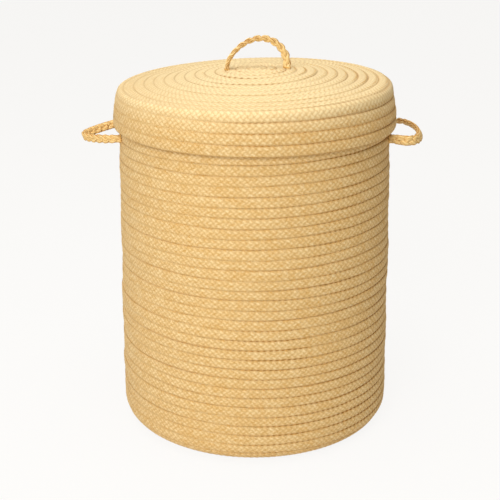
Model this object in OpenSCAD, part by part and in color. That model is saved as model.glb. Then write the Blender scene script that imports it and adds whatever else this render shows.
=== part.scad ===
// Round laundry hamper: one long flat braid coiled and stitched into a base and wall,
// a domed lift-off lid made the same way, and plaited cord handles that swing at their roots.
// Millimetres, +Z up, origin on the floor under the middle of the base.
// X runs through both side handles, and -Y is the front.

/* [Braid] */
// Width of one coiled row, before rows are spread evenly
braid_w = 14.6; // [11:0.1:19]
// Thickness of the braid
braid_t = 6.4; // [4.6:0.1:8]
// Depth of the groove between two rows, on each side
groove_depth = 1.9; // [0.6:0.1:2]
// Thickness of the sewing thread that lies in the grooves
thread_d = 1.2; // [0.6:0.1:1.4]

/* [Basket] */
// Outside radius of the rim
rim_r = 190.4; // [150:0.2:240]
// How much the wall draws in under the lid
rim_tuck = 4.8; // [0:0.2:6]
// How much the wall widens from the lid's lower edge to the foot
foot_flare = 8.6; // [0:0.2:14]
// How far the wall swells at half height
belly = 1.2; // [0:0.2:10]
// Outside radius of the rounded bottom edge
foot_round = 30; // [14:1:45]
// Height of the rim above the floor
rim_h = 505; // [250:1:620]

/* [Lid] */
// Gap all round between the rim and the inside of the lid
lid_fit = 1.3; // [0.8:0.1:5]
// How much wider the gap is at the lid's lower edge than at the rim
skirt_slack = 2.3; // [0:0.1:6]
// Outside radius of the rounded top edge
lid_round = 9; // [7:0.1:16]
// Gap between the rim and the underside of the lid
seat_gap = 0.4; // [0.3:0.1:3]
// Height from the lid's lower edge to the top of the basket's rim
skirt_lap = 52.5; // [30:0.5:80]
// Rise of the dome from its edge to its middle
dome_rise = 21; // [6:1:60]
// How pointed the dome is, from a cone at 1 to a bowl at 2
dome_power = 1.25; // [1.05:0.05:2]

/* [Plait] */
// Diameter of one strand
strand_d = 3.6; // [3:0.1:4.4]
// Length of plait in which a strand crosses and comes back, before crossings are spread evenly
plait_pitch = 36; // [26:1:48]
// Diameter of the bunched cord where it goes through the braid
tail_d = 10; // [7:0.2:12]
// Running gap between a cord root and the plait that swings on it
root_gap = 0.3; // [0.2:0.05:1]
// Distance from the braid's surface to the point where a plait swings
root_reach = 7.6; // [6.8:0.1:14]
// Diameter of the stopper knots
knot_d = 21; // [15:0.5:28]
// Thickness of the thread binding round each root
binding_t = 1.4; // [0.8:0.1:2.2]
// Width of the thread binding round each root
binding_w = 2.4; // [1:0.1:3]

/* [Side handles] */
// Angle from the side to each root of a handle, seen from above
root_angle = 15.5; // [8:0.5:30]
// How far below the lid's lower edge the roots are
root_drop = 12.5; // [12.5:0.5:60]
// How far the resting left handle hangs below level
left_droop = 7.5; // [0:0.5:14]
// How far the left loop stands out from its swing axis
left_reach = 52; // [35:1:80]
// How wide the left loop is: below 0 a hairpin, above 0 a horseshoe
left_fullness = -0.4; // [-0.4:0.05:0.6]
// How far the left loop leans to the front
left_lean = 4; // [0:1:12]
// How far the left plait twists between its roots
left_twist = 20; // [0:5:90]
// How far the resting right handle hangs below level
right_droop = 2.5; // [0:0.5:14]
// How far the right loop stands out from its swing axis
right_reach = 42; // [35:1:80]
// How wide the right loop is
right_fullness = 0.6; // [-0.4:0.05:0.6]
// How far the right plait twists between its roots
right_twist = 70; // [0:5:90]

/* [Lid handle] */
// Distance from the middle of the lid to each root
lid_root_x = 43; // [28:1:80]
// Height of the arch above its swing axis
arch_h = 36; // [24:1:60]
// How wide the arch is: below 0 pointed, above 0 a horseshoe
arch_fullness = -0.15; // [-0.4:0.05:0.5]
// How far the top of the arch leans to the right
arch_lean = 5; // [0:1:12]
// How far the plait twists between its roots
arch_twist = 60; // [0:5:90]

/* [Hidden] */

straw = [0.91, 0.76, 0.47];
pale_straw = [0.96, 0.86, 0.62];
sewing = [0.74, 0.55, 0.25];
cord = [0.93, 0.72, 0.38];

half_t = braid_t / 2;

// ---- The basket's path: out along the base, round the foot and up the wall ----
// Every path gives [r, z, outward r, outward z] for the middle of the braid at a length s.
foot_bend = foot_round - half_t;
foot_z = foot_round;
wall_len = rim_h - foot_z;
lid_low = rim_h - skirt_lap;
function under_lid(h) = max(0, (foot_z + h * wall_len - lid_low) / skirt_lap);
function wall_r(h) =
    rim_r - half_t + rim_tuck * (1 - pow(under_lid(h), 2))
    + foot_flare * (1 - h) + 4 * belly * h * (1 - h);
function wall_slope(h) =
    (4 * belly * (1 - 2 * h) - foot_flare) / wall_len - 2 * rim_tuck * under_lid(h) / skirt_lap;
base_len = wall_r(0) - foot_bend;
foot_len = foot_bend * PI / 2;
basket_len = base_len + foot_len + wall_len;
basket_rows = round(basket_len / braid_w - 0.5);
basket_pitch = basket_len / (basket_rows + 0.5);
base_rows = floor((base_len + foot_len) / basket_pitch);

function unit(v) = v / norm(v);
function basket_at(s) =
    s <= base_len ? [s, half_t, 0, -1]
    : s <= base_len + foot_len ?
        let (a = (s - base_len) / foot_bend * 180 / PI)
        [base_len + foot_bend * sin(a), foot_z - foot_bend * cos(a), sin(a), -cos(a)]
    : let (h = (s - base_len - foot_len) / wall_len, n = unit([1, -wall_slope(h)]))
        [wall_r(h), foot_z + h * wall_len, n.x, n.y];

// ---- The lid's path: out over the dome, round the edge and down the skirt ----
lid_bend = lid_round - half_t;
lid_r = rim_r + lid_fit + half_t;
skirt_flare = rim_tuck + skirt_slack;
dome_edge_slope = atan(dome_rise * dome_power / lid_r);
dome_edge_z = rim_h + seat_gap + half_t;
lid_bend_z = dome_edge_z - lid_bend * cos(dome_edge_slope);
skirt_lean = atan(2 * skirt_flare / (lid_bend_z - lid_low));
lid_bend_r = lid_r - lid_bend * cos(skirt_lean);
dome_r = lid_bend_r + lid_bend * sin(dome_edge_slope);
skirt_top = lid_bend_z + lid_bend * sin(skirt_lean);
dome_len = norm([dome_r, dome_rise]);
edge_len = lid_bend * (90 - skirt_lean - dome_edge_slope) * PI / 180;
skirt_len = skirt_top - lid_low;
lid_len = dome_len + edge_len + skirt_len;
lid_rows = round(lid_len / braid_w - 0.5);
lid_pitch = lid_len / (lid_rows + 0.5);
crown_rows = floor((dome_len + edge_len) / lid_pitch);

function dome_z(r) = dome_edge_z + dome_rise * (1 - pow(r / dome_r, dome_power));
function dome_slope(r) = atan(dome_rise * dome_power / dome_r * pow(r / dome_r, dome_power - 1));
function lid_at(s) =
    s <= dome_len ?
        let (r = dome_r * s / dome_len, a = r < 1 ? 0 : dome_slope(r))
        [r, dome_z(r), sin(a), cos(a)]
    : s <= dome_len + edge_len ?
        let (a = dome_edge_slope + (s - dome_len) / lid_bend * 180 / PI)
        [lid_bend_r + lid_bend * sin(a), lid_bend_z + lid_bend * cos(a), sin(a), cos(a)]
    : let (h = (s - dome_len - edge_len) / skirt_len)
        let (n = unit([skirt_len, 2 * skirt_flare * (1 - h)]))
        [lid_r + skirt_flare * h * (2 - h), skirt_top - h * skirt_len, n.x, n.y];

// ---- Rows of braid along a path ----
// One row from groove to groove: place across the row, and share of the groove's depth.
crest = 0.14;
shoulder = 0.34;
shoulder_depth = 0.3;
function row_profile(pitch) =
    let (land = 0.5 - thread_d / 2 / pitch)
    [[-land, 1], [-shoulder, shoulder_depth], [-crest, 0],
     [crest, 0], [shoulder, shoulder_depth], [land, 1]];

function off_path(p, v) = [p[0] + p[2] * v, p[1] + p[3] * v];

// The places and depths of one side, from the first row to the last, centre row 0 cut in half.
function row_steps(first, last, pitch) = [
    if (first == 0) [0, 0] else [(first - 0.5) * pitch, 1],
    for (i = [first:last], q = row_profile(pitch))
        if (i > 0 || q[0] > 0) [(i + q[0]) * pitch, q[1]],
    [(last + 0.5) * pitch, 1]
];

// A turned shell whose outline is the coil's rows, scalloped inside and out.
module coil(at, first, last, pitch) {
    steps = row_steps(first, last, pitch);
    outer = [for (q = steps) off_path(at(q[0]), half_t - groove_depth * q[1])];
    inner = [for (q = steps) off_path(at(q[0]), -half_t + groove_depth * q[1])];
    flipped = [for (i = [len(inner) - 1:-1:0]) inner[i]];
    rotate_extrude($fn = 180) polygon(concat(outer, flipped));
}

// A ring of thread on the floor of each groove between two rows.
module groove_threads(at, first, last, pitch) {
    seat = half_t - groove_depth + thread_d / 2 * cos(22.5);
    for (i = [first:last]) {
        p = at((i + 0.5) * pitch);
        rotate_extrude($fn = 180)
            translate(off_path(p, seat))
                rotate(atan2(p[3], p[2]) + 22.5)
                    circle(d = thread_d, $fn = 8);
    }
}

// ---- Where the cords go through the braid ----
root_z = lid_low - root_drop;
root_wall_h = (root_z - foot_z) / wall_len;
root_surface_r = wall_r(root_wall_h) + half_t;
root_r = root_surface_r + root_reach;
swing_x = root_r * cos(root_angle);
swing_y = root_r * sin(root_angle);
lid_surface_z = dome_z(lid_root_x) + half_t;
swing_z = lid_surface_z + root_reach;

knot_wraps = 3;
knot_len = 13;
knot_gap = 0.4;
tail_stub = 7;

// A frame whose +Z leaves the braid along a side root, with its origin on the braid's surface.
module at_side_root(side, end) {
    rotate([0, 0, side * end * root_angle + (side < 0 ? 180 : 0)])
        translate([root_surface_r, 0, root_z])
            rotate([0, 90, 0])
                children();
}

module at_lid_root(side) {
    translate([side * lid_root_x, 0, lid_surface_z]) children();
}

module side_root_holes() {
    for (side = [-1, 1], end = [-1, 1])
        at_side_root(side, end) root_hole();
}

module lid_root_holes() {
    for (side = [-1, 1]) at_lid_root(side) root_hole();
}

// The hole that a cord fills, through the braid and any thread in front of it.
module root_hole() {
    translate([0, 0, -braid_t - 3]) cylinder(h = braid_t + 6, d = tail_d, $fn = 48);
}

// A cord's end: a ball-shaped nose that the plait swings on, the stretch through the braid,
// a stopper knot of wrapped turns inside, and the short end beyond it.
module root_knot() {
    wrap_steps = 4;
    tail_r = tail_d / 2;
    end_r = tail_r * 0.8;
    wrap_h = knot_len / knot_wraps;
    knot_top = -braid_t - knot_gap;
    outline = [
        [0, knot_top - knot_len - tail_stub],
        [end_r, knot_top - knot_len - tail_stub],
        for (k = [knot_wraps - 1:-1:0], i = [0:wrap_steps])
            let (a = -90 + 180 * i / wrap_steps)
            [max(end_r, knot_d / 2 - wrap_h / 2 + wrap_h / 2 * cos(a)),
             knot_top - (k + 0.5) * wrap_h + wrap_h / 2 * sin(a) * 0.98],
        [tail_r, knot_top],
        [tail_r, root_reach],
        [0, root_reach]
    ];
    rotate_extrude($fn = 48) polygon(outline);
    translate([0, 0, root_reach]) sphere(r = tail_r, $fn = 48);
}

// Turns of thread wound round a root, just clear of the braid.
module root_binding() {
    turns = 3;
    turn_w = binding_w / turns;
    foot = 0.4;
    outline = [
        [tail_d / 2, foot],
        for (k = [0:turns - 1], i = [0:3])
            [tail_d / 2 + binding_t * (i == 0 || i == 3 ? 0.6 : 1), foot + (k + [0, 0.3, 0.7, 1][i]) * turn_w],
        [tail_d / 2, foot + binding_w]
    ];
    rotate_extrude($fn = 48) polygon(outline);
}

// ---- Plaited cord ----
// How far a strand swings to each side, and through the plait, so that three just pass each other.
plait_spread = strand_d * 1.16;
plait_depth = strand_d * 0.74;

// A loop in its own plane: across runs between the roots, out leaves the braid.
function loop_point(t, half, reach, fullness, lean) =
    let (c = -cos(180 * t), s = sin(180 * t))
    [half * c * (1 + fullness * s) + lean * s, reach * s];

// One strand of a three-strand plait that follows a loop. frame is [origin, across, out, normal].
module strand(phase, frame, half, reach, fullness, lean, twist) {
    sides = 8;
    fine = 120;
    loop = [for (i = [0:fine]) loop_point(i / fine, half, reach, fullness, lean)];
    run = [
        for (i = 0, l = 0; i <= fine; l = l + (i < fine ? norm(loop[i + 1] - loop[i]) : 0), i = i + 1) l
    ];
    by_length = [for (i = [0:fine]) [run[i], i / fine]];
    start = tail_d / 2 + root_gap;
    finish = run[fine] - start;
    crossings = round((finish - start) / plait_pitch * 3);
    rings = crossings * 5;

    function on_loop(s) = loop_point(lookup(s, by_length), half, reach, fullness, lean);
    function heading(s) = unit(on_loop(s + 0.5) - on_loop(s - 0.5));
    function place(s) =
        let (p = on_loop(s), q = heading(s), turn = twist * s / run[fine])
        let (a = 120 * crossings * (s - start) / (finish - start) + phase)
        let (across = plait_spread * sin(a), through = plait_depth * sin(2 * a))
        let (n = across * cos(turn) - through * sin(turn), m = across * sin(turn) + through * cos(turn))
        frame[0] + frame[1] * (p.x - q.y * m) + frame[2] * (p.y + q.x * m) + frame[3] * n;

    stops = [for (i = [0:rings]) start + (finish - start) * i / rings];
    path = [for (s = stops) place(s)];
    points = [
        for (i = [0:rings])
            let (q = heading(stops[i]), ends = i == 0 || i == rings)
            let (t = ends ? frame[1] * q.x + frame[2] * q.y : unit(path[i + 1] - path[i - 1]))
            let (x = unit(cross(frame[3], t)), y = cross(t, x))
            for (k = [0:sides - 1])
                path[i] + strand_d / 2 * (x * cos(360 * k / sides) + y * sin(360 * k / sides))
    ];
    skin = [
        for (i = [0:rings - 1], k = [0:sides - 1])
            let (a = i * sides + k, b = i * sides + (k + 1) % sides)
            each [[a, b + sides, b], [a, a + sides, b + sides]]
    ];
    low_end = [for (k = [0:sides - 1]) k];
    high_end = [for (k = [sides - 1:-1:0]) rings * sides + k];
    polyhedron(points, concat(skin, [low_end, high_end]));
}

module side_strand(side, phase) {
    droop = side < 0 ? left_droop : right_droop;
    frame = [
        [side * swing_x, 0, root_z],
        [0, 1, 0],
        [side * cos(droop), 0, -sin(droop)],
        [sin(droop), 0, side * cos(droop)] * side
    ];
    if (side < 0) strand(phase, frame, swing_y, left_reach, left_fullness, -left_lean, left_twist);
    else strand(phase, frame, swing_y, right_reach, right_fullness, 0, right_twist);
}

module lid_strand(phase) {
    frame = [[0, 0, swing_z], [1, 0, 0], [0, 0, 1], [0, -1, 0]];
    strand(phase, frame, lid_root_x, arch_h, arch_fullness, arch_lean, arch_twist);
}

// ---- Sub-parts ----
module base_coil() {
    color(straw) coil(function (s) basket_at(s), 0, base_rows, basket_pitch);
}

module wall_coil() {
    color(straw) difference() {
        coil(function (s) basket_at(s), base_rows + 1, basket_rows, basket_pitch);
        side_root_holes();
    }
}

module base_seam_thread() {
    color(sewing) groove_threads(function (s) basket_at(s), 0, base_rows, basket_pitch);
}

module wall_seam_thread() {
    color(sewing) difference() {
        groove_threads(function (s) basket_at(s), base_rows + 1, basket_rows - 1, basket_pitch);
        side_root_holes();
    }
}

module lid_crown_coil() {
    color(pale_straw) difference() {
        coil(function (s) lid_at(s), 0, crown_rows, lid_pitch);
        lid_root_holes();
    }
}

module lid_skirt_coil() {
    color(pale_straw) coil(function (s) lid_at(s), crown_rows + 1, lid_rows, lid_pitch);
}

module lid_seam_thread() {
    color(sewing) difference() {
        groove_threads(function (s) lid_at(s), 0, lid_rows - 1, lid_pitch);
        lid_root_holes();
    }
}

module side_knot(side, end) { color(cord) at_side_root(side, end) root_knot(); }
module side_binding(side, end) { color(sewing) at_side_root(side, end) root_binding(); }
module lid_knot(side) { color(cord) at_lid_root(side) root_knot(); }
module lid_binding(side) { color(sewing) at_lid_root(side) root_binding(); }

base_coil();
wall_coil();
base_seam_thread();
wall_seam_thread();
side_knot(-1, -1);  // left_handle_front_knot
side_knot(-1, 1);  // left_handle_rear_knot
side_knot(1, -1);  // right_handle_front_knot
side_knot(1, 1);  // right_handle_rear_knot
side_binding(-1, -1);  // left_handle_front_binding
side_binding(-1, 1);  // left_handle_rear_binding
side_binding(1, -1);  // right_handle_front_binding
side_binding(1, 1);  // right_handle_rear_binding
color(cord) side_strand(-1, 0);  // left_handle_strand_a
color(cord) side_strand(-1, 120);  // left_handle_strand_b
color(cord) side_strand(-1, 240);  // left_handle_strand_c
color(cord) side_strand(1, 0);  // right_handle_strand_a
color(cord) side_strand(1, 120);  // right_handle_strand_b
color(cord) side_strand(1, 240);  // right_handle_strand_c
lid_crown_coil();
lid_skirt_coil();
lid_seam_thread();
lid_knot(-1);  // lid_handle_left_knot
lid_knot(1);  // lid_handle_right_knot
lid_binding(-1);  // lid_handle_left_binding
lid_binding(1);  // lid_handle_right_binding
color(cord) lid_strand(0);  // lid_handle_strand_a
color(cord) lid_strand(120);  // lid_handle_strand_b
color(cord) lid_strand(240);  // lid_handle_strand_c
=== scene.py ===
from math import atan, cos, pi, radians, sin, sqrt

import bmesh
import bpy
import numpy as np
from mathutils import Matrix, Vector


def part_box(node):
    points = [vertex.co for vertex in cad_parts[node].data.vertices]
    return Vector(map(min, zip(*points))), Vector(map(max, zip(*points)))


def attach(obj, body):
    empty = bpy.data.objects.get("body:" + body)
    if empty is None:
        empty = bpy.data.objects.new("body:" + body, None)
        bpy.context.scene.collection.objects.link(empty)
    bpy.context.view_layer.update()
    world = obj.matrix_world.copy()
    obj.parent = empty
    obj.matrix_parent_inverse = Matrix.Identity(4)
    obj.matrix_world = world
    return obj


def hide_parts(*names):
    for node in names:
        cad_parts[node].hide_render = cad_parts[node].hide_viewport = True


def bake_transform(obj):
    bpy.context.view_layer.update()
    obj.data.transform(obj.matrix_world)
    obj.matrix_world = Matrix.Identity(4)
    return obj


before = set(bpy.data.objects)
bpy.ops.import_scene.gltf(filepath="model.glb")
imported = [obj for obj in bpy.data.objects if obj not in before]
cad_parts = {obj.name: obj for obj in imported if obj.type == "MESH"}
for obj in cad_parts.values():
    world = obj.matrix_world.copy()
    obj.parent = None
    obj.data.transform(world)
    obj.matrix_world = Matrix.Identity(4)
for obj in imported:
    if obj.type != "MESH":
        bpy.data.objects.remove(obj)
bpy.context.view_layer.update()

# A round laundry hamper: one flat braid coiled into a base and wall, a domed lid coiled the
# same way, and three plaited cord handles. Metres, in the frame's own axes.

scene = bpy.context.scene

camera = {
    "place": (0, -1.600, 0.827),
    "pitchDown": 19.73,
    "lens": 80.6,
    "shift": -0.0097,
}


def addCamera():
    data = bpy.data.cameras.new("camera")
    data.lens = camera["lens"]
    data.sensor_width = 36
    data.shift_x = camera["shift"]
    eye = bpy.data.objects.new("camera", data)
    eye.location = camera["place"]
    eye.rotation_euler = (radians(90 - camera["pitchDown"]), 0, 0)
    scene.collection.objects.link(eye)
    scene.camera = eye


addCamera()
print("camera placed")

# Lamps: azimuth is turned from the front towards the right, share is the part of full light
# that a lamp gives a pale surface facing it.
lamps = [
    {"name": "leftSoftbox", "azimuth": -80, "rise": 30, "away": 2.4, "size": 1.6, "share": 0.04},
    {"name": "frontSoftbox", "azimuth": -19, "rise": 31, "away": 2.6, "size": 1.5, "share": 0.62},
    {"name": "topSoftbox", "azimuth": -25, "rise": 84, "away": 2.4, "size": 1.8, "share": 0.58},
]
studio = {
    "aim": (0, 0, 0.28),
    "ambient": (0.285, 0.26, 0.20),
    "backdrop": (0.980, 0.972, 0.960),
    "floorTone": (0.92, 0.915, 0.90),
    "floorRadius": 9,
    "floorGlow": 0.92,
}


def addLamps():
    aim = Vector(studio["aim"])
    for lamp in lamps:
        turn, rise = radians(lamp["azimuth"]), radians(lamp["rise"])
        away = Vector((sin(turn) * cos(rise), -cos(turn) * cos(rise), sin(rise))) * lamp["away"]
        data = bpy.data.lights.new(lamp["name"], "AREA")
        data.shape = "DISK"
        data.size = lamp["size"]
        data.energy = lamp["share"] * pi * pi * lamp["away"] ** 2
        box = bpy.data.objects.new(lamp["name"], data)
        box.location = aim + away
        box.rotation_euler = away.to_track_quat("Z", "Y").to_euler()
        scene.collection.objects.link(box)


def node(tree, kind, inputs=None, **settings):
    # A node with its settings, and its inputs either linked or given a value.
    made = tree.nodes.new(kind)
    for key, value in settings.items():
        setattr(made, key, value)
    for key, value in (inputs or {}).items():
        if isinstance(value, bpy.types.NodeSocket):
            tree.links.new(value, made.inputs[key])
        else:
            made.inputs[key].default_value = value
    return made


def calc(tree, operation, a, b=0.0, clamp=False):
    return node(tree, "ShaderNodeMath", {0: a, 1: b}, operation=operation, use_clamp=clamp).outputs[0]


def blendColour(tree, factor, a, b, kind="MIX"):
    made = node(
        tree, "ShaderNodeMix", {0: factor, 6: a, 7: b}, data_type="RGBA", blend_type=kind
    )
    return made.outputs[2]


def seenByRays(tree):
    # 1 for rays that should meet the plain backdrop, 0 for rays that light the object.
    path = node(tree, "ShaderNodeLightPath")
    mirror = calc(tree, "MAXIMUM", path.outputs["Is Glossy Ray"], path.outputs["Is Transmission Ray"])
    return calc(tree, "MAXIMUM", path.outputs["Is Camera Ray"], mirror)


def addWorld():
    world = bpy.data.worlds.new("studio")
    world.use_nodes = True
    tree = world.node_tree
    tree.nodes.clear()
    tone = blendColour(tree, seenByRays(tree), (*studio["ambient"], 1), (*studio["backdrop"], 1))
    sky = node(tree, "ShaderNodeBackground", {"Color": tone, "Strength": 1.0})
    node(tree, "ShaderNodeOutputWorld", {"Surface": sky.outputs[0]})
    scene.world = world


def addFloor():
    made = bmesh.new()
    bmesh.ops.create_circle(made, cap_ends=True, segments=64, radius=studio["floorRadius"])
    mesh = bpy.data.meshes.new("studioFloor")
    made.to_mesh(mesh)
    made.free()
    material = bpy.data.materials.new("paleFloor")
    material.use_nodes = True
    tree = material.node_tree
    tree.nodes.clear()
    paper = node(tree, "ShaderNodeBsdfDiffuse", {"Color": (*studio["floorTone"], 1)})
    glow = node(tree, "ShaderNodeEmission", {"Color": (*studio["backdrop"], 1), "Strength": 1.0})
    share = calc(tree, "MULTIPLY", seenByRays(tree), studio["floorGlow"])
    mix = node(tree, "ShaderNodeMixShader", {0: share, 1: paper.outputs[0], 2: glow.outputs[0]})
    node(tree, "ShaderNodeOutputMaterial", {"Surface": mix.outputs[0]})
    mesh.materials.append(material)
    floor = bpy.data.objects.new("studioFloor", mesh)
    scene.collection.objects.link(floor)


addLamps()
addWorld()
addFloor()
scene.view_settings.view_transform = "Standard"
print("studio lit")


# Finishes. Each material reads the piece's own map: U counts grains or yarn turns along the
# braid, V runs across it.
def newGroup(name, sockets):
    group = bpy.data.node_groups.new(name, "ShaderNodeTree")
    for title, direction, kind, value in sockets:
        socket = group.interface.new_socket(title, in_out=direction, socket_type="NodeSocket" + kind)
        if value is not None:
            socket.default_value = value
    return group, node(group, "NodeGroupInput"), node(group, "NodeGroupOutput")


yarnShape = {
    "ridge": 0.3,
    "fibreAcross": 9.0,
    "fibreShift": 7.3,
    "fibreRelief": 0.4,
    "crestRound": 0.6,
    "dashLevel": 0.52,
    "dashDepth": 0.48,
    "hollowFall": 3.0,
}


def makeYarnGroup():
    # Bundles of parallel yarns with fine fibre in them. In a braid the bundles cross, so that
    # lozenges of them lie between slanting lines, and in a cord they run on as ridges.
    group, given, result = newGroup("yarnGrain", [
        ("Map", "INPUT", "Vector", None),
        ("Crossing", "INPUT", "Float", 1.0),
        ("Yarns", "INPUT", "Float", 3.0),
        ("Fibre", "INPUT", "Float", 24.0),
        ("Edge Fall", "INPUT", "Float", 14.0),
        ("Height", "OUTPUT", "Float", None),
        ("Fibre Tone", "OUTPUT", "Float", None),
        ("Bundle Tone", "OUTPUT", "Float", None),
        ("Crest", "OUTPUT", "Float", None),
        ("Hollow", "OUTPUT", "Float", None),
        ("Edge", "OUTPUT", "Float", None),
    ])
    split = node(group, "ShaderNodeSeparateXYZ", {0: given.outputs["Map"]})
    along, across = split.outputs[0], split.outputs[1]

    def wave(value, rate):
        # 1 at whole numbers and -1 halfway between them
        turned = calc(group, "MULTIPLY", calc(group, "MULTIPLY", value, rate), 2 * pi)
        return calc(group, "COSINE", turned)

    ridge = calc(group, "MULTIPLY", wave(along, given.outputs["Yarns"]), yarnShape["ridge"])
    stretched = node(group, "ShaderNodeCombineXYZ", {
        0: calc(group, "MULTIPLY", along, given.outputs["Fibre"]),
        1: calc(group, "MULTIPLY", across, yarnShape["fibreAcross"]),
        2: calc(group, "MULTIPLY", calc(group, "ROUND", along), yarnShape["fibreShift"]),
    })
    fibre = node(group, "ShaderNodeTexNoise", {
        "Vector": stretched.outputs[0], "Scale": 1.0, "Detail": 2.0, "Roughness": 0.7,
    }).outputs["Fac"]
    bundle = node(group, "ShaderNodeCombineXYZ", {
        0: calc(group, "ROUND", along),
        1: calc(group, "ROUND", calc(group, "MULTIPLY", across, 2.0)),
    })
    bundleTone = node(group, "ShaderNodeTexWhiteNoise", {"Vector": bundle.outputs[0]}).outputs["Value"]
    lozenge = calc(group, "MULTIPLY", calc(group, "SUBTRACT", wave(across, 1.0), wave(along, 1.0)), 0.5)
    lozenge = calc(group, "ABSOLUTE", lozenge)
    cord = calc(group, "ADD", calc(group, "MULTIPLY", wave(along, 1.0), 0.5), 0.5)
    crest = node(group, "ShaderNodeMix", {0: given.outputs["Crossing"], 2: cord, 3: lozenge}).outputs[0]
    height = calc(group, "ADD", ridge, calc(group, "MULTIPLY", fibre, yarnShape["fibreRelief"]))
    height = calc(group, "ADD", height, calc(group, "POWER", crest, yarnShape["crestRound"]))
    # painted shade where the bundles turn over the edge, darkest between two of them
    turned = calc(group, "SUBTRACT", 0.5, calc(group, "MULTIPLY", wave(across, 0.5), 0.5))
    dashes = calc(group, "MULTIPLY", wave(along, 1.0), yarnShape["dashDepth"])
    dashes = calc(group, "SUBTRACT", yarnShape["dashLevel"], dashes)
    edge = calc(group, "MULTIPLY", calc(group, "POWER", turned, given.outputs["Edge Fall"]), dashes)
    # painted shade in the hollows between the bundles' crests
    hollow = calc(group, "POWER", calc(group, "SUBTRACT", 1.0, crest), yarnShape["hollowFall"])
    for title, value in (
        ("Height", height), ("Fibre Tone", fibre), ("Bundle Tone", bundleTone),
        ("Crest", crest), ("Hollow", hollow), ("Edge", edge),
    ):
        group.links.new(value, result.inputs[title])
    return group


def makeDriftGroup():
    # Slow changes of tone over the whole piece, such as dye lots and handling.
    group, given, result = newGroup("toneDrift", [
        ("Place", "INPUT", "Vector", None),
        ("Scale", "INPUT", "Float", 9.0),
        ("Drift", "OUTPUT", "Float", None),
    ])
    broad = node(group, "ShaderNodeTexNoise", {
        "Vector": given.outputs["Place"], "Scale": given.outputs["Scale"], "Detail": 3.0,
    }).outputs["Fac"]
    spread = node(group, "ShaderNodeMapRange", {
        "Value": broad, "From Min": 0.32, "From Max": 0.68, "To Min": 0.0, "To Max": 1.0,
    })
    group.links.new(spread.outputs[0], result.inputs["Drift"])
    return group


yarnGroup = makeYarnGroup()
driftGroup = makeDriftGroup()
roughDrift = 0.2
halfWidth = 0.2  # of the basket, over which the painted shade in its grooves deepens from left to right


def yarnMaterial(name, look):
    material = bpy.data.materials.new(name)
    material.use_nodes = True
    tree = material.node_tree
    tree.nodes.clear()
    mapped = node(tree, "ShaderNodeUVMap", uv_map="yarnMap")
    place = node(tree, "ShaderNodeTexCoord")
    yarn = node(tree, "ShaderNodeGroup", node_tree=yarnGroup)
    drift = node(tree, "ShaderNodeGroup", node_tree=driftGroup)
    tree.links.new(mapped.outputs[0], yarn.inputs["Map"])
    for title in ("Crossing", "Yarns", "Fibre", "Edge Fall"):
        yarn.inputs[title].default_value = look[title]
    tree.links.new(place.outputs["Object"], drift.inputs["Place"])
    drift.inputs["Scale"].default_value = look["driftScale"]

    def weighted(value, weight):
        return calc(tree, "MULTIPLY", calc(tree, "SUBTRACT", value, 0.5), weight)

    tone = calc(tree, "ADD", weighted(yarn.outputs["Fibre Tone"], look["fibreTone"]), 0.5)
    tone = calc(tree, "ADD", tone, weighted(yarn.outputs["Bundle Tone"], look["bundleTone"]))
    # painted highlight on the crests of the bundles and painted shade between them
    tone = calc(tree, "ADD", tone, weighted(yarn.outputs["Crest"], look["paintedCrestLight"]))
    tone = calc(tree, "ADD", tone, weighted(drift.outputs["Drift"], look["driftTone"]), clamp=True)
    colour = blendColour(tree, tone, (*look["deep"], 1), (*look["light"], 1))
    if "paintedTopLight" in look:  # painted light: the top of the lid and its handle are paler higher up, as lit from above
        height = node(tree, "ShaderNodeSeparateXYZ", {0: place.outputs["Object"]}).outputs[2]
        low, high = look["paintedTopLightHeights"]
        rise = node(tree, "ShaderNodeMapRange", {"Value": height, "From Min": low, "From Max": high})
        colour = blendColour(
            tree, calc(tree, "MULTIPLY", rise.outputs[0], look["paintedTopLightShare"]), colour, (*look["paintedTopLight"], 1)
        )
    # painted shade along the edges of the strip or strand, varied by the drift
    paintedEdgeShade = calc(tree, "MULTIPLY", calc(tree, "ADD", drift.outputs["Drift"], 0.5), look["edgeShade"])
    if "gaping" in look:  # painted shade: the lines between rows darken from the left to the right, away from the light
        sideways = node(tree, "ShaderNodeSeparateXYZ", {0: place.outputs["Object"]}).outputs[0]
        low, high = look["gaping"]
        gaping = node(tree, "ShaderNodeMapRange", {
            "Value": sideways, "From Min": -halfWidth, "From Max": halfWidth, "To Min": low, "To Max": high,
        })
        paintedEdgeShade = calc(tree, "MULTIPLY", paintedEdgeShade, gaping.outputs[0])
    # painted shade: the hollows and the edges are mixed towards the shade colour
    for title, weight in (("Hollow", look["hollowShade"]), ("Edge", paintedEdgeShade)):
        share = calc(tree, "MULTIPLY", yarn.outputs[title], weight, clamp=True)
        colour = blendColour(tree, share, colour, (*look["shade"], 1))
    bump = node(tree, "ShaderNodeBump", {
        "Height": yarn.outputs["Height"], "Strength": look["bump"], "Distance": look["bumpDepth"],
    })
    rough = calc(tree, "ADD", weighted(yarn.outputs["Fibre Tone"], roughDrift), look["roughness"])
    surface = node(tree, "ShaderNodeBsdfPrincipled", {
        "Base Color": colour, "Roughness": rough, "Normal": bump.outputs[0],
        "Specular IOR Level": look["specular"], "Sheen Weight": look["sheen"],
        "Sheen Roughness": 0.5,
    })
    node(tree, "ShaderNodeOutputMaterial", {"Surface": surface.outputs[0]})
    return material


def dyed(red, green, blue):
    # A colour written as it looks on screen, from 0 to 255.
    def linear(c):
        c = c / 255
        return c / 12.92 if c <= 0.04045 else ((c + 0.055) / 1.055) ** 2.4
    return (linear(red), linear(green), linear(blue))


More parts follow.
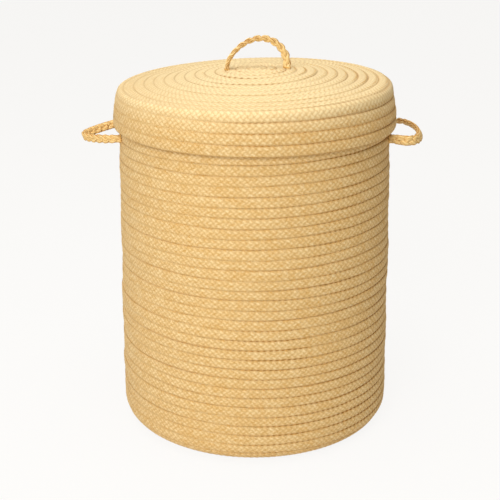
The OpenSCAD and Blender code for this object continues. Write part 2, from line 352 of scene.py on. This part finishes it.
looks = {
    "basketBraid": {
        "deep": dyed(217, 169, 93), "light": dyed(245, 221, 171), "shade": dyed(174, 120, 48),
        "Crossing": 1.0, "Yarns": 4.0, "Fibre": 6.0, "Edge Fall": 14.0,
        "fibreTone": 2.8, "bundleTone": 0.34, "paintedCrestLight": 0.32, "driftTone": 0.08, "driftScale": 9.0,
        "hollowShade": 0.26, "edgeShade": 0.8, "gaping": (0.4, 1.7), "bump": 0.7, "bumpDepth": 0.0008,
        "roughness": 0.75, "specular": 0.2, "sheen": 0.04,
    },
    "lidBraid": {
        "deep": dyed(213, 165, 90), "light": dyed(241, 217, 167), "shade": dyed(174, 118, 42),
        "Crossing": 1.0, "Yarns": 4.0, "Fibre": 6.0, "Edge Fall": 14.0,
        "fibreTone": 2.8, "bundleTone": 0.34, "paintedCrestLight": 0.32, "driftTone": 0.08, "driftScale": 9.0,
        "hollowShade": 0.28, "edgeShade": 0.8, "gaping": (0.5, 1.6), "bump": 0.7, "bumpDepth": 0.0008,
        "roughness": 0.75, "specular": 0.2, "sheen": 0.04,
        # painted light on the top of the lid, as lit from above
        "paintedTopLight": dyed(254, 236, 190), "paintedTopLightHeights": (0.480, 0.520), "paintedTopLightShare": 0.62,
    },
    "sewingThread": {
        "deep": dyed(206, 152, 70), "light": dyed(240, 196, 116), "shade": dyed(160, 108, 42),
        "Crossing": 0.0, "Yarns": 2.0, "Fibre": 12.0, "Edge Fall": 3.0,
        "fibreTone": 0.8, "bundleTone": 0.3, "paintedCrestLight": 0.3, "driftTone": 0.2, "driftScale": 30.0,
        "hollowShade": 0.2, "edgeShade": 0.0, "bump": 0.3, "bumpDepth": 0.0003,
        "roughness": 0.6, "specular": 0.3, "sheen": 0.04,
    },
    "handlePlait": {
        "deep": dyed(214, 168, 92), "light": dyed(246, 218, 158), "shade": dyed(168, 112, 40),
        "Crossing": 0.0, "Yarns": 2.0, "Fibre": 9.0, "Edge Fall": 2.0,
        "fibreTone": 2.0, "bundleTone": 0.1, "paintedCrestLight": 0.3, "driftTone": 0.2, "driftScale": 40.0,
        "hollowShade": 0.2, "edgeShade": 1.3, "bump": 0.45, "bumpDepth": 0.0005,
        "roughness": 0.66, "specular": 0.3, "sheen": 0.04,
        # painted light on the lid's handle, as lit from above
        "paintedTopLight": dyed(255, 230, 170), "paintedTopLightHeights": (0.50, 0.53), "paintedTopLightShare": 0.6,
    },
}
materials = {name: yarnMaterial(name, look) for name, look in looks.items()}
print("finishes mixed")


# Shapes. A sweep is a grid of points, one ring of a tube for each step along it.
def sweepPart(name, points, marks):
    steps, sides = points.shape[0] - 1, points.shape[1] - 1
    part = bmesh.new()
    part.loops.layers.uv.new("yarnMap")
    bmesh.ops.create_grid(part, x_segments=steps, y_segments=sides, size=0.5)
    mesh = bpy.data.meshes.new(name)
    part.to_mesh(mesh)
    flat = np.empty(len(mesh.vertices) * 3)
    mesh.vertices.foreach_get("co", flat)
    flat = flat.reshape(-1, 3)
    step = np.rint((flat[:, 0] + 0.5) * steps).astype(int)
    side = np.rint((flat[:, 1] + 0.5) * sides).astype(int)
    mesh.vertices.foreach_set("co", points[step, side].ravel())
    corner = np.empty(len(mesh.loops), dtype=int)
    mesh.loops.foreach_get("vertex_index", corner)
    mesh.uv_layers["yarnMap"].data.foreach_set("uv", marks[step[corner], side[corner]].ravel())
    part.clear()
    part.from_mesh(mesh)
    bpy.data.meshes.remove(mesh)
    closeTube(part, side, sides)
    return part


def closeTube(part, side, sides):
    # The tube is joined along its seam, then its two ends are capped.
    part.verts.ensure_lookup_table()
    seam = [v for v, s in zip(part.verts, side) if s in (0, sides)]
    bmesh.ops.remove_doubles(part, verts=seam, dist=1e-7)
    caps = bmesh.ops.holes_fill(part, edges=[e for e in part.edges if e.is_boundary], sides=0)
    bmesh.ops.recalc_face_normals(part, faces=part.faces)
    for face in part.faces:
        face.smooth = True
    for cap in caps["faces"]:
        cap.smooth = False
        for edge in cap.edges:
            edge.smooth = False


def sweepMesh(name, sweeps, finish):
    whole = bmesh.new()
    for points, marks in sweeps:
        part = sweepPart(name, points, marks)
        joined = bpy.data.meshes.new(name)
        part.to_mesh(joined)
        part.free()
        whole.from_mesh(joined)
        bpy.data.meshes.remove(joined)
    mesh = bpy.data.meshes.new(name)
    whole.to_mesh(mesh)
    whole.free()
    mesh.materials.append(materials[finish])
    piece = bpy.data.objects.new(name, mesh)
    scene.collection.objects.link(piece)
    return piece


def wearPiece(piece, nodes, body=None):
    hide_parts(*nodes)
    if body:
        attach(piece, body)


def unitRows(vectors):
    return vectors / np.maximum(np.linalg.norm(vectors, axis=-1, keepdims=True), 1e-12)


def tube(centres, up, wide, thick, sides, yarnPitch, lobes=(0, 0.0, 0.0)):
    # A tube round a line of centres: wide across, thick along the up direction.
    along = unitRows(np.gradient(centres, axis=0))
    across = unitRows(np.cross(along, up))
    rise = np.cross(across, along)
    run = np.concatenate([[0], np.cumsum(np.linalg.norm(np.diff(centres, axis=0), axis=1))])
    angle = np.linspace(0, 2 * pi, sides + 1)
    angle[-1] = 0
    count, depth, turnsPerMetre = lobes
    swell = 1 + depth * np.cos(count * (angle[None, :] - 2 * pi * turnsPerMetre * run[:, None]))
    wide, thick = (np.broadcast_to(size, run.shape)[:, None, None] / 2 for size in (wide, thick))
    points = centres[:, None, :] + swell[..., None] * (
        across[:, None, :] * np.cos(angle)[None, :, None] * wide
        + rise[:, None, :] * np.sin(angle)[None, :, None] * thick
    )
    turn = np.linspace(0, 1, sides + 1)[None, :] * max(count, 1)
    grains = run[:, None] / yarnPitch + np.zeros_like(turn)
    sideways = 1 + 4 * np.linspace(0, 1, sides + 1)[None, :] + np.zeros_like(grains)
    return points, np.stack([turn + grains, sideways], -1)


def ease(value, low, high):
    t = np.clip((value - low) / (high - low), 0, 1)
    return t * t * (3 - 2 * t)


def waves(x, parts):
    return sum(size * np.sin(2 * pi * (rate * x + shift)) for size, rate, shift in parts)


# Braid. The rows of a coil are the turns of one long strip. Its bundles of yarn cross each other,
# and come up in turn along its middle and edges, and along the lines halfway between those.
braid = {
    "width": 0.0146,
    "thick": 0.0064,
    "grain": 0.0084,
    "slant": 0.0012,
    "relief": 0.0007,
    "crown": 0.0005,
    "groove": 0.0013,
    "opening": 0.8,
    "deepest": 0.0026,
    "thinnest": 0.0007,
    "overlap": 0.08,
    "scallop": 0.05,
    "edgeRound": 7,
    "unevenness": 0.5,
    "columns": 4,
    "tightest": 0.010,
}
stepsPerTurn = 400
faceStops = (-1, -0.9, -0.75, -0.5, -0.25, 0, 0.25, 0.5, 0.75, 0.9, 1)
backStops = (0.75, 0.5, 0.25, 0, -0.25, -0.5, -0.75)
stops = np.array(faceStops + backStops + (-1,))
faceSide = np.array([1] * len(faceStops) + [-1] * len(backStops) + [1])
backStart = len(faceStops)
mapAcross = np.concatenate([stops[:backStart], 2 - stops[backStart:-1], [3]])

rowDrift = [(0.00034, 2.37, 0.10), (0.00026, 5.19, 0.65), (0.00014, 11.3, 0.30)]
rowLift = [(0.00026, 0.38, 0.20), (0.00020, 1.37, 0.55), (0.00016, 2.41, 0.05), (0.00012, 4.29, 0.80)]
grooveUnevenness = [(0.45, 0.43, 0.15), (0.35, 1.61, 0.45), (0.20, 3.35, 0.9)]


def coilRun(coil):
    # Length along the strip's middle against turns of the coil. The strip starts as a point at
    # the centre, half a turn before the first whole one, and its grain is finer there.
    turns = np.linspace(-0.5, coil["turns"], round((coil["turns"] + 0.5) * stepsPerTurn) + 1)
    middle = (coilEdge(coil, turns - 0.5) + coilEdge(coil, turns + 0.5)) / 2
    radius = np.maximum(coil["path"](middle)[0], braid["tightest"])
    steps = pi * (radius[1:] + radius[:-1]) * np.diff(turns)
    return turns, np.concatenate([[0], np.cumsum(steps)])


def coilEdge(coil, x):
    # Place along the outline of the line between two rows, x turns out. The coil gains most of
    # its next row at the back, so the rows run nearly level across the front.
    drift = waves(x, rowDrift) * ease(x, 0.5, 2) * ease(coil["turns"] - x, 0.5, 2)
    level = coil["pitch"] * coil["level"] * np.sin(2 * pi * x) / (2 * pi) * ease(x, 0, 2)
    return np.clip(coil["pitch"] * x - level + drift, coil["eye"], coil["length"])


def coilAngle(coil, turns):
    return radians(coil["startAngle"]) + coil["direction"] * 2 * pi * turns


def coilPoint(coil, s, offset, turns):
    radius, height, outR, outZ = coil["path"](s)
    angle = coilAngle(coil, turns)
    reach = radius + outR * offset
    x, y = reach * np.cos(angle), reach * np.sin(angle)
    return np.stack([x, y, height + outZ * offset + coil["lean"](s) * x], -1)


def scatter(value):
    # Looks random from one value to the next, and is the same in every run: -0.5 to 0.5.
    return np.sin(value) * 43758.5453 % 1 - 0.5


def braidStrip(coil, firstTurn, lastTurn):
    turns, run = coilRun(coil)
    step = braid["grain"] / braid["columns"]
    first, last = (round(float(np.interp(x, turns, run)) / step) for x in (firstTurn, lastTurn))
    line = (np.arange(first, last + 1) * step)[:, None]
    edgeward = np.abs(stops)[None, :]
    slant = braid["slant"] * np.sin(2 * pi * (mapAcross + 0.5)) * ease(run[-1] - line, 0, 0.05)
    turn = np.interp(line + slant, run, turns)
    low, high = coilEdge(coil, turn - 0.5), coilEdge(coil, turn + 0.5)
    high = low + (high - low) * ease(coil["turns"] - turn, 0, coil["taper"])
    grain = line / braid["grain"]
    crest = np.cos(2 * pi * grain) * np.cos(2 * pi * (mapAcross + 0.5))
    uneven = scatter(np.rint(grain) * 12.9898 + np.rint(2 * mapAcross))
    width = high - low
    slim = np.sqrt(np.clip(width / (0.6 * coil["pitch"]), 0.12, 1))
    # rows gape a little on the right and are nearly shut on the left
    between = 0.5 - 0.5 * np.cos(2 * pi * grain)
    scallop = braid["scallop"] * between
    gaping = 1 + braid["opening"] * np.cos(coilAngle(coil, turn))
    reach = 1 + (braid["overlap"] - scallop) * edgeward ** 4
    s = (low + high) / 2 + width / 2 * stops * reach
    groove = (1 + waves(turn + 0.5 * np.sign(stops), grooveUnevenness)) * (0.3 + 1.1 * between)
    groove = np.minimum(braid["groove"] * gaping * groove, braid["deepest"])
    groove = groove * edgeward ** braid["edgeRound"]
    sunk = braid["relief"] / 2 * (1 - crest * (1 + uneven * braid["unevenness"]))
    bulk = braid["thick"] / 2 - braid["crown"] * gaping * edgeward ** 2 - groove - sunk
    bulk = np.maximum(bulk, braid["thinnest"]) * slim
    lift = coil["lift"](s, turn) + coil["tilt"] * stops * ease(s, *coil["tiltFrom"])
    points = coilPoint(coil, s, faceSide * bulk + lift, turn)
    points[:, -1] = points[:, 0]
    return points, np.stack(np.broadcast_arrays(grain, mapAcross[None, :]), -1)


thread = {
    "thick": 0.0010,
    "stitch": 0.0045,
    "zigzag": 0.0016,
    "seat": 0.0023,
    "sides": 4,
    "yarnPitch": 0.003,
    "firstTurn": 0.6,
    "shortOfRim": 0.1,
    "shortOfSkirt": 0.6,
}


def seamThread(coil, firstTurn, lastTurn, side):
    # A zigzag of sewing thread along the groove between two rows.
    x = np.linspace(firstTurn, lastTurn, stepsPerTurn * int(lastTurn - firstTurn + 1))
    radius = coil["path"](coilEdge(coil, x))[0]
    run = np.concatenate([[0], np.cumsum(pi * (radius[1:] + radius[:-1]) * np.diff(x))])
    count = int(run[-1] / thread["stitch"])
    turn = np.interp(np.arange(count) * thread["stitch"], run, x)
    swing = thread["zigzag"] * np.where(np.arange(count) % 2, 1, -1)
    s = coilEdge(coil, turn) + swing
    lift = coil["lift"](s, turn)
    centres = coilPoint(coil, s, side * thread["seat"] + lift, turn)
    inner = coilPoint(coil, s, 0 * s, turn)
    return tube(
        centres, unitRows(centres - inner), thread["thick"], thread["thick"],
        thread["sides"], thread["yarnPitch"],
    )


# The basket's outline: out along the base, round the foot and up the wall, which draws in
# where the lid covers it.
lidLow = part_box("lid_skirt_coil")[0].z
basket = {
    "rimRadius": 0.1904,
    "rimTuck": 0.0048,
    "lap": 0.0525,
    "footFlare": 0.0086,
    "belly": 0.0012,
    "footRound": 0.030,
    "tip": 0.041,
    "tipRise": (0.12, 0.44),
    "sag": 0.010,
    "rimDip": 0.006,
    "rimDipRise": (0.465, 0.495),
    "leanRise": (0.03, 0.10),
    "liftRise": (-0.02, 0.05),
    "fadeBelowLid": 0.065,
    "waviness": 0.0010,
    "rowTilt": 0.0003,
}
halfThick = braid["thick"] / 2
rimHeight = lidLow + basket["lap"]
footBend = basket["footRound"] - halfThick
wallLength = rimHeight - basket["footRound"]


def underLid(h):
    return np.maximum(0, (basket["footRound"] + h * wallLength - lidLow) / basket["lap"])


def wallRadius(h):
    return (
        basket["rimRadius"] - halfThick + basket["rimTuck"] * (1 - underLid(h) ** 2)
        + basket["footFlare"] * (1 - h) + 4 * basket["belly"] * h * (1 - h)
    )


baseLength = float(wallRadius(0)) - footBend
footLength = footBend * pi / 2


def basketPath(s):
    bend = np.clip((s - baseLength) / footBend, 0, pi / 2)
    h = np.clip((s - baseLength - footLength) / wallLength, 0, 1)
    slope = (4 * basket["belly"] * (1 - 2 * h) - basket["footFlare"]) / wallLength
    slope = slope - 2 * basket["rimTuck"] * underLid(h) / basket["lap"]
    onWall = s > baseLength + footLength
    radius = np.where(onWall, wallRadius(h), np.minimum(s, baseLength) + footBend * np.sin(bend))
    height = np.where(
        onWall, basket["footRound"] + h * wallLength, basket["footRound"] - footBend * np.cos(bend)
    )
    size = np.sqrt(1 + slope ** 2)
    outR = np.where(onWall, 1 / size, np.sin(bend))
    outZ = np.where(onWall, -slope / size, -np.cos(bend))
    return radius, height, outR, outZ


basketLength = baseLength + footLength + wallLength
basketRows = round(basketLength / braid["width"] - 0.5)
basketPitch = basketLength / (basketRows + 0.5)
baseRows = int((baseLength + footLength) / basketPitch)


def basketLean(s):
    # Low down the rows dip to the right, and further up they rise to it. The rim rises a little less.
    height = s - baseLength - footLength + basket["footRound"]
    tip = basket["tip"] * ease(height, *basket["tipRise"]) - basket["sag"]
    tip = tip - basket["rimDip"] * ease(height, *basket["rimDipRise"])
    return tip * ease(height, *basket["leanRise"])


def basketLift(s, turn):
    # Rows stand a little proud or shy, and the wall itself waves slowly. Up to the lid's lower edge
    # the wave dies out and the rows calm down.
    height = s - baseLength - footLength
    free = ease(height, *basket["liftRise"])
    hidden = ease(height, lidLow - basket["fadeBelowLid"], lidLow - basket["footRound"])
    angle = 2 * pi * turn
    sway = basket["waviness"] * (
        np.sin(height * 57 + 1.4 * np.sin(angle + 0.4)) * 0.6
        + np.sin(height * 31 - angle + 2.0) * 0.4 + np.sin(2 * angle + 1.1) * 0.3
    )
    return free * ((1 - 0.6 * hidden) * waves(turn, rowLift) + (1 - hidden) * sway)


basketCoil = {
    "path": basketPath, "pitch": basketPitch, "length": basketLength, "eye": 0.0004,
    "turns": basketRows + 1, "direction": -1, "startAngle": 90, "level": 0.25, "taper": 0.02,
    "lift": basketLift, "lean": basketLean, "tilt": basket["rowTilt"],
    "tiltFrom": (baseLength + footLength * 0.6, baseLength + footLength * 1.2),
    "finish": "basketBraid", "slot": "basket_braid", "body": "hamper",
}

# The lid's outline: out over the dome, round the edge and down the skirt, which widens as it
# goes down.
lid = {
    "fit": 0.0013,
    "slack": 0.0023,
    "edgeRound": 0.009,
    "seatGap": 0.0004,
    "domeRise": 0.021,
    "domePower": 1.25,
    "tip": 0.031,
    "skirtTip": 0.003,
    "tipFade": (0.006, 0.010),
    "skirtCalm": 0.5,
    "liftRise": (0.01, 0.04),
    "eyeRound": 0.004,
    "rowTilt": -0.0002,
}
lidBend = lid["edgeRound"] - halfThick
lidRadius = basket["rimRadius"] + lid["fit"] + halfThick
skirtFlare = basket["rimTuck"] + lid["slack"]
edgeSlope = atan(lid["domeRise"] * lid["domePower"] / lidRadius)
domeEdge = rimHeight + lid["seatGap"] + halfThick
bendHeight = domeEdge - lidBend * cos(edgeSlope)
skirtLean = atan(2 * skirtFlare / (bendHeight - lidLow))
bendRadius = lidRadius - lidBend * cos(skirtLean)
domeRadius = bendRadius + lidBend * sin(edgeSlope)
skirtTop = bendHeight + lidBend * sin(skirtLean)
domeLength = sqrt(domeRadius ** 2 + lid["domeRise"] ** 2)
edgeLength = lidBend * (pi / 2 - skirtLean - edgeSlope)
skirtLength = skirtTop - lidLow


def lidPath(s):
    r = domeRadius * np.minimum(s, domeLength) / domeLength
    share = np.maximum(r, 1e-6) / domeRadius
    slope = np.arctan(lid["domeRise"] * lid["domePower"] / domeRadius * share ** (lid["domePower"] - 1))
    slope = slope * ease(r, 0, lid["eyeRound"])
    bend = np.clip(edgeSlope + (s - domeLength) / lidBend, edgeSlope, pi / 2 - skirtLean)
    h = np.maximum(0, (s - domeLength - edgeLength) / skirtLength)
    widened = skirtFlare * np.where(h < 1, h * (2 - h), 1)
    flare = 2 * skirtFlare * np.maximum(0, 1 - h)
    size = np.sqrt(skirtLength ** 2 + flare ** 2)
    where = [s <= domeLength, s <= domeLength + edgeLength]
    domeHeight = domeEdge + lid["domeRise"] * (1 - share ** lid["domePower"])
    radius = np.select(where, [r, bendRadius + lidBend * np.sin(bend)], lidRadius + widened)
    height = np.select(where, [domeHeight, bendHeight + lidBend * np.cos(bend)], skirtTop - h * skirtLength)
    outR = np.select(where, [np.sin(slope), np.sin(bend)], skirtLength / size)
    outZ = np.select(where, [np.cos(slope), np.cos(bend)], flare / size)
    return radius, height, outR, outZ


lidLength = domeLength + edgeLength + skirtLength
lidRows = round(lidLength / braid["width"])
lidPitch = lidLength / lidRows
crownRows = int((domeLength + edgeLength) / lidPitch)


def lidLean(s):
    # The dome sits tipped, higher on the right.
    skirt = np.clip((s - domeLength - edgeLength) / skirtLength, 0, 1)
    inner, outer = lid["tipFade"]
    domeShare = 1 - ease(s, domeLength - inner, domeLength + edgeLength + outer)
    return lid["skirtTip"] * (1 - skirt) + (lid["tip"] - lid["skirtTip"]) * domeShare


def lidLift(s, turn):
    onSkirt = ease(s, domeLength - 0.01, domeLength + edgeLength)
    return (1 - lid["skirtCalm"] * onSkirt) * waves(turn, rowLift) * ease(s, *lid["liftRise"])


lidCoil = {
    "path": lidPath, "pitch": lidPitch, "length": lidLength + lidPitch / 2, "eye": 0.0004,
    "turns": lidRows, "direction": 1, "startAngle": 90, "level": 0.8, "taper": 0.22,
    "lift": lidLift, "lean": lidLean, "tilt": lid["rowTilt"],
    "tiltFrom": (domeLength, domeLength + edgeLength),
    "finish": "lidBraid", "slot": "lid_braid", "body": "lid",
}

lastTaper = {"wall": 0.06, "lid": 0.01}  # share of a turn by which a tapered end stops short


def buildCoils():
    wallTurns = np.linspace(baseRows + 1, basketRows + 1 - lastTaper["wall"], 5)
    strips = [
        ("baseBraid", basketCoil, -0.5, baseRows + 1, "base_coil"),
        ("lidCrownBraid", lidCoil, -0.5, crownRows + 1, "lid_crown_coil"),
        ("lidSkirtBraid", lidCoil, crownRows + 1, lidRows - lastTaper["lid"], "lid_skirt_coil"),
    ]
    for name, first, last in zip(("Foot", "Lower", "Upper", "Rim"), wallTurns[:-1], wallTurns[1:]):
        strips.append((f"wallBraid{name}", basketCoil, first, last, "wall_coil"))
    for name, coil, first, last, cadNode in strips:
        piece = sweepMesh(name, [braidStrip(coil, first, last)], coil["finish"])
        wearPiece(piece, [cadNode], coil["body"])
        print(name, "braided,", len(piece.data.polygons), "faces")


def buildSeams():
    start, foot = thread["firstTurn"], baseRows + 0.5
    seams = [
        ("baseSeamThread", basketCoil, start, foot, "base_seam_thread"),
        ("wallSeamThread", basketCoil, foot, basketRows - thread["shortOfRim"], "wall_seam_thread"),
        ("lidSeamThread", lidCoil, start, lidRows - thread["shortOfSkirt"], "lid_seam_thread"),
    ]
    for name, coil, first, last, cadNode in seams:
        sweeps = [seamThread(coil, first, last, side) for side in (1, -1)]
        wearPiece(sweepMesh(name, sweeps, "sewingThread"), [cadNode], coil["body"])
    print("seams sewn")


buildCoils()
buildSeams()

# Handles. Three strands are plaited over a loop in its own plane, and pass through the braid
# at both roots to a stopper knot inside.
plait = {
    "strandWide": 0.0067,
    "strandThick": 0.0043,
    "spread": 0.0034,
    "flattening": 0.15,
    "depth": 0.0015,
    "pitch": 0.036,
    "rootShare": 0.9,
    "rootReach": 0.0076,
    "tail": 0.010,
    "gap": 0.0003,
    "sides": 20,
    "step": 0.0008,
    "softening": 0.0028,
    "clearOfRoot": 0.004,
    "settling": (0.002, 0.012),
    "rootThick": 0.94,
    "bendHalf": 0.006,
    "yarnPitch": 0.012,
    "lobes": (5, 0.045, 45),
}
knot = {
    "across": 0.021,
    "length": 0.013,
    "gap": 0.0004,
    "wraps": 3,
    "wrapThick": 1.12,
    "bob": 0.0003,
    "grip": 0.6,
    "stub": 0.008,
    "sides": 12,
    "tails": 3,
    "tailStart": 0.35,
    "tailPlace": 0.0026,
    "tailSpread": 0.0028,
    "tailThick": 0.0046,
    "tailTaper": 0.25,
    "tailLobes": (5, 0.06, 45),
}
binding = {
    "thick": 0.0010,
    "turns": 2.3,
    "rise": 0.0014,
    "foot": 0.0002,
    "wide": 0.0112,
    "deep": 0.0074,
    "sides": 8,
    "yarnPitch": 0.003,
    "lobes": (2, 0.08, 500),
}

rootAngle = radians(15.5)
rootDrop = 0.0125
rootHeight = lidLow - rootDrop
rootSurface = wallRadius((rootHeight - basket["footRound"]) / wallLength) + halfThick
rootRadius = rootSurface + plait["rootReach"]
lidRoot = 0.043
lidSurface = float(lidPath(np.array([lidRoot * domeLength / domeRadius]))[1][0]) + halfThick
upward = Vector((0, 0, 1))


def sideHandle(side, name, droop, reach, fullness, lean, twist, broad):
    out = Vector((side * cos(radians(droop)), 0, -sin(radians(droop))))
    ends = [
        Vector((side * cos(rootAngle), end * sin(rootAngle), 0)) for end in (-1, 1)
    ]
    swing = rootRadius * cos(rootAngle)
    return {
        "name": name, "body": f"{name}_handle", "carrier": "hamper", "hand": -side,
        "half": rootRadius * sin(rootAngle), "reach": reach, "fullness": fullness, "lean": lean,
        "twist": twist, "broad": broad, "origin": Vector((side * swing, 0, rootHeight)),
        "across": Vector((0, 1, 0)), "out": out, "rootWays": ends, "rootNames": ("front", "rear"),
        "bendFrom": Vector((side * (swing - plait["bendHalf"]), 0, rootHeight)),
        "bendTo": Vector((side * (swing + plait["bendHalf"]), 0, rootHeight)),
    }


lidSwing = lidSurface + plait["rootReach"]
handles = [
    sideHandle(-1, "left", 7.5, 0.052, -0.4, -0.004, 20, 1.0),
    sideHandle(1, "right", 2.5, 0.042, 0.6, 0, -70, 1.14),
    {  # its middle stands a little to the right, and it follows the tipped dome
        "name": "lid", "body": "lid_handle", "carrier": "lid", "hand": 1,
        "half": lidRoot, "reach": 0.036, "fullness": -0.15, "lean": 0.005,
        "twist": 60, "broad": 1.0, "origin": Vector((0.003, 0, lidSwing)),
        "across": Vector((1, 0, lid["tip"])).normalized(), "out": upward,
        "rootWays": [upward, upward], "rootNames": ("left", "right"),
        "bendFrom": Vector((0, 0, lidSwing - plait["bendHalf"])),
        "bendTo": Vector((0, 0, lidSwing + plait["bendHalf"])),
    },
]


def loopLine(handle):
    t = np.linspace(0, 1, 241)
    c, s = -np.cos(pi * t), np.sin(pi * t)
    x = handle["half"] * c * (1 + handle["fullness"] * s) + handle["lean"] * s
    y = handle["reach"] * s
    line = np.array(handle["origin"]) + np.outer(x, handle["across"]) + np.outer(y, handle["out"])
    run = np.concatenate([[0], np.cumsum(np.linalg.norm(np.diff(line, axis=0), axis=1))])
    return line, run


def softLine(line, step, softening):
    # The same line in even steps, with its corners rounded.
    run = np.concatenate([[0], np.cumsum(np.linalg.norm(np.diff(line, axis=0), axis=1))])
    count = round(run[-1] / step)
    even = np.linspace(0, run[-1], count + 1)
    points = np.stack([np.interp(even, run, line[:, k]) for k in range(3)], -1)
    reach = int(3 * softening / step)
    kernel = np.exp(-0.5 * (np.arange(-reach, reach + 1) * step / softening) ** 2)
    kernel /= kernel.sum()
    first, last = points[:1], points[-1:]
    padded = np.concatenate([2 * first - points[reach:0:-1], points, 2 * last - points[-2:-reach - 2:-1]])
    soft = np.stack([np.convolve(padded[:, k], kernel, "valid") for k in range(3)], -1)
    return soft, even


def plaitStrands(handle):
    loop, run = loopLine(handle)
    inward = plait["rootReach"] + braid["thick"] + knot["gap"] + knot["grip"] * knot["length"]
    depths = np.linspace(-inward, -plait["clearOfRoot"], 30)
    clear = (run > plait["clearOfRoot"]) & (run < run[-1] - plait["clearOfRoot"])
    roots = [end + np.outer(depths, way) for end, way in zip((loop[0], loop[-1]), handle["rootWays"])]
    line, even = softLine(
        np.concatenate([roots[0], loop[clear], roots[1][::-1]]), plait["step"], plait["softening"]
    )
    place = even - inward  # 0 at the first swing point
    place = place * run[-1] / (even[-1] - 2 * inward)
    along = unitRows(np.gradient(line, axis=0))
    plane = np.array(handle["across"].cross(handle["out"]))
    side = unitRows(np.cross(plane, along))
    face = np.cross(along, side) * handle["hand"]
    turn = np.radians(handle["twist"]) * np.clip(place / run[-1], 0, 1)[:, None]
    start = plait["tail"] / 2 + plait["gap"]
    finish = run[-1] - start
    crossings = round((finish - start) / plait["pitch"] * 3)
    rate = 2 * pi * crossings / 3 / (finish - start)
    free = ease(place, *plait["settling"]) * ease(run[-1] - place, *plait["settling"])
    share = (plait["rootShare"] + (1 - plait["rootShare"]) * free)[:, None]
    wideWay = face * np.cos(turn) + side * np.sin(turn)
    thickWay = side * np.cos(turn) - face * np.sin(turn)
    thin = plait["rootThick"] + (1 - plait["rootThick"]) * free
    strands = []
    for phase in (0, 2 * pi / 3, 4 * pi / 3):
        a = (rate * (place - start) + phase)[:, None]
        sway, dip = (np.sin(k * a) + plait["flattening"] * np.sin(3 * k * a) for k in (1, 2))
        centres = line + share * (
            wideWay * plait["spread"] * handle["broad"] * sway + thickWay * plait["depth"] * dip
        )
        strands.append(tube(
            centres, thickWay, plait["strandWide"] * handle["broad"] * thin, plait["strandThick"] * thin,
            plait["sides"], plait["yarnPitch"], plait["lobes"],
        ))
    return strands


def helix(origin, way, side, wide, deep, start, end, turns, flat):
    # Turns about a way, wide along a side and deep across it, each turn bobbing a little.
    other = way.cross(side)
    a = np.linspace(0, 2 * pi * turns, int(turns * 28) + 1)
    rise = np.linspace(start, end, len(a)) + flat * np.sin(a + 0.6)
    return (
        np.array(origin) + np.outer(rise, way)
        + np.outer(wide / 2 * np.cos(a), side) + np.outer(deep / 2 * np.sin(a), other)
    )


def stopperKnot(surface, way):
    # Turns of cord wound behind the braid, with the strands' short ends out of the middle.
    wrap = knot["length"] / knot["wraps"]
    top = -braid["thick"] - knot["gap"]
    across = knot["across"] - wrap
    side = way.orthogonal().normalized()
    turns = helix(surface, way, side, across, across, top - wrap / 2, top - knot["length"] + wrap / 2,
                  knot["wraps"] - 0.1, knot["bob"])
    axis = np.tile(np.array(way), (len(turns), 1))
    sweeps = [tube(
        turns, axis, wrap, wrap * knot["wrapThick"], knot["sides"], plait["yarnPitch"], plait["lobes"]
    )]
    start = top - knot["length"] * knot["tailStart"]
    length = knot["length"] * (1 - knot["tailStart"]) + knot["stub"]
    t = np.linspace(0, 1, 14)[:, None]
    thick = knot["tailThick"] * (1 - knot["tailTaper"] * t[:, 0] ** 3)
    for k in range(knot["tails"]):
        turn = 2 * pi * k / knot["tails"] + 0.5
        lean = np.array(side * cos(turn) + way.cross(side) * sin(turn))
        tail = np.array(surface) + np.array(way) * (start - t * length)
        tail = tail + lean * (knot["tailPlace"] + knot["tailSpread"] * t ** 2)
        up = np.tile(lean, (len(tail), 1))
        sweeps.append(tube(tail, up, thick, thick, knot["sides"], plait["yarnPitch"], knot["tailLobes"]))
    return sweeps


def rootBinding(surface, way, wideWay):
    # Thread wound round the flat plait where it comes out of the braid.
    low = binding["foot"]
    side = (wideWay - way * wideWay.dot(way)).normalized()
    turns = helix(surface, way, side, binding["wide"], binding["deep"], low, low + binding["rise"],
                  binding["turns"], 0.0)
    axis = np.tile(np.array(way), (len(turns), 1))
    thick = binding["thick"]
    return [tube(turns, axis, thick, thick, binding["sides"], binding["yarnPitch"], binding["lobes"])]


def buildHandles():
    for handle in handles:
        name, body, carrier = handle["name"], handle["body"], handle["carrier"]
        for letter, strand in zip("abc", plaitStrands(handle)):
            piece = sweepMesh(f"{name}HandleStrand{letter.upper()}", [strand], "handlePlait")
            wearPiece(piece, [f"{body}_strand_{letter}"])
            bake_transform(piece)
        loop = loopLine(handle)[0]
        plane = handle["across"].cross(handle["out"])
        twisted = Matrix.Rotation(radians(handle["twist"]), 3, handle["rootWays"][1]) @ plane
        roots = zip((loop[0], loop[-1]), handle["rootWays"], handle["rootNames"], (plane, twisted))
        for end, way, side, wideWay in roots:
            surface = Vector(end) - way * plait["rootReach"]
            title = f"{name}Handle{side.capitalize()}"
            knotPiece = sweepMesh(f"{title}Knot", stopperKnot(surface, way), "handlePlait")
            wearPiece(knotPiece, [f"{body}_{side}_knot"], carrier)
            wound = sweepMesh(f"{title}Binding", rootBinding(surface, way, wideWay), "sewingThread")
            wearPiece(wound, [f"{body}_{side}_binding"], carrier)
        print(name, "handle plaited")


buildHandles()
